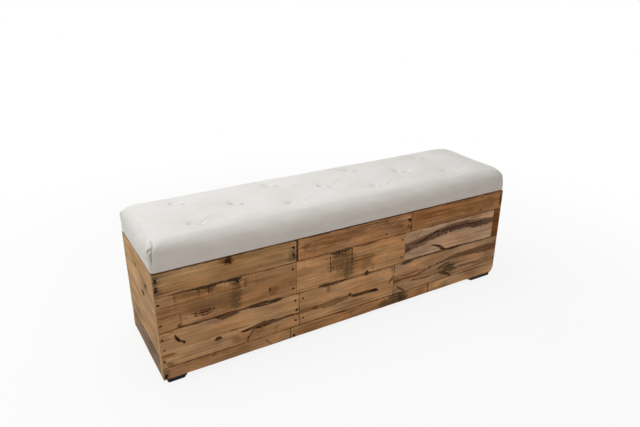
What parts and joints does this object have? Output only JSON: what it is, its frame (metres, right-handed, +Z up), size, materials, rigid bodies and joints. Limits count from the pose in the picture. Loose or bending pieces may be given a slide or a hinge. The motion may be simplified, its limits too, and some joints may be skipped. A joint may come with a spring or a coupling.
{
  "type": "pallet bench",
  "caption": "Low storage bench: a box clad in reclaimed pallet boards on low feet, with a tufted canvas seat that lifts on back hinges as the lid.",
  "frame": {"origin": "on the floor, under the middle of the bench", "axes": "+X along the bench to the sitter's left, seen from the front to the right; the front faces -Y; +Z up"},
  "size_m": [1.404, 0.3642, 0.4729],
  "materials": {
    "yellow_pine": "waxed reclaimed pine, light yellow-tan",
    "pale_pine": "waxed reclaimed pine, pale with dark figure",
    "brown_pine": "waxed reclaimed pine, orange-brown",
    "grey_pine": "weathered grey pine",
    "sawn_timber": "rough sawn softwood",
    "plywood": "sanded plywood",
    "foam": "open-cell seat foam",
    "canvas": "off-white cotton canvas, plain weave",
    "twine": "waxed tufting twine",
    "pad_rubber": "black rubber",
    "nail_iron": "dark, slightly rusted nail heads",
    "foot_plastic": "matt black moulded plastic",
    "zinc_steel": "zinc plated steel"
  },
  "bodies": {
    "box": {"back_bottom_board_1": "brown_pine", "back_bottom_board_2": "brown_pine", "back_left_cleat": "sawn_timber", "back_left_foot": "foot_plastic", "back_left_post": "sawn_timber", "back_right_cleat": "sawn_timber", "back_right_foot": "foot_plastic", "back_right_post": "sawn_timber", "back_second_board_1": "brown_pine", "back_second_board_2": "pale_pine", "back_third_board_1": "yellow_pine", "back_third_board_2": "brown_pine", "back_top_board_1": "brown_pine", "back_top_board_2": "yellow_pine", "box_hinge_screws": "zinc_steel", "cladding_nails": "nail_iron", "floor_panel": "plywood", "foot_screws": "zinc_steel", "front_bottom_board_1": "brown_pine", "front_bottom_board_2": "brown_pine", "front_bottom_board_3": "brown_pine", "front_bottom_board_4": "brown_pine", "front_left_cleat": "sawn_timber", "front_left_foot": "foot_plastic", "front_left_post": "sawn_timber", "front_right_cleat": "sawn_timber", "front_right_foot": "foot_plastic", "front_right_post": "sawn_timber", "front_second_board_1": "brown_pine", "front_second_board_2": "brown_pine", "front_second_board_3": "pale_pine", "front_second_board_4": "brown_pine", "front_third_board_1": "yellow_pine", "front_third_board_2": "yellow_pine", "front_third_board_3": "yellow_pine", "front_top_board_1": "yellow_pine", "front_top_board_2": "brown_pine", "front_top_board_3": "brown_pine", "hinge_pins": "zinc_steel", "left_end_low_board": "grey_pine", "left_end_middle_board": "yellow_pine", "left_end_top_board": "yellow_pine", "left_hinge_box_leaf": "zinc_steel", "middle_hinge_box_leaf": "zinc_steel", "right_end_low_board": "brown_pine", "right_end_middle_board": "brown_pine", "right_end_top_board": "yellow_pine", "right_hinge_box_leaf": "zinc_steel"},
    "lid": {"left_hinge_lid_leaf": "zinc_steel", "lid_board": "plywood", "lid_hinge_screws": "zinc_steel", "lid_pads": "pad_rubber", "lid_staples": "zinc_steel", "middle_hinge_lid_leaf": "zinc_steel", "right_hinge_lid_leaf": "zinc_steel", "seat_cover": "canvas", "seat_foam": "foam", "tuft_twine": "twine"}
  },
  "joints": [
    {"name": "lid_hinge", "type": "hinge", "parent": "box", "child": "lid", "pos_m": [0, 0.1791, 0.3788], "axis": [-1, 0, 0], "range_deg": [0, 95]}
  ]
}
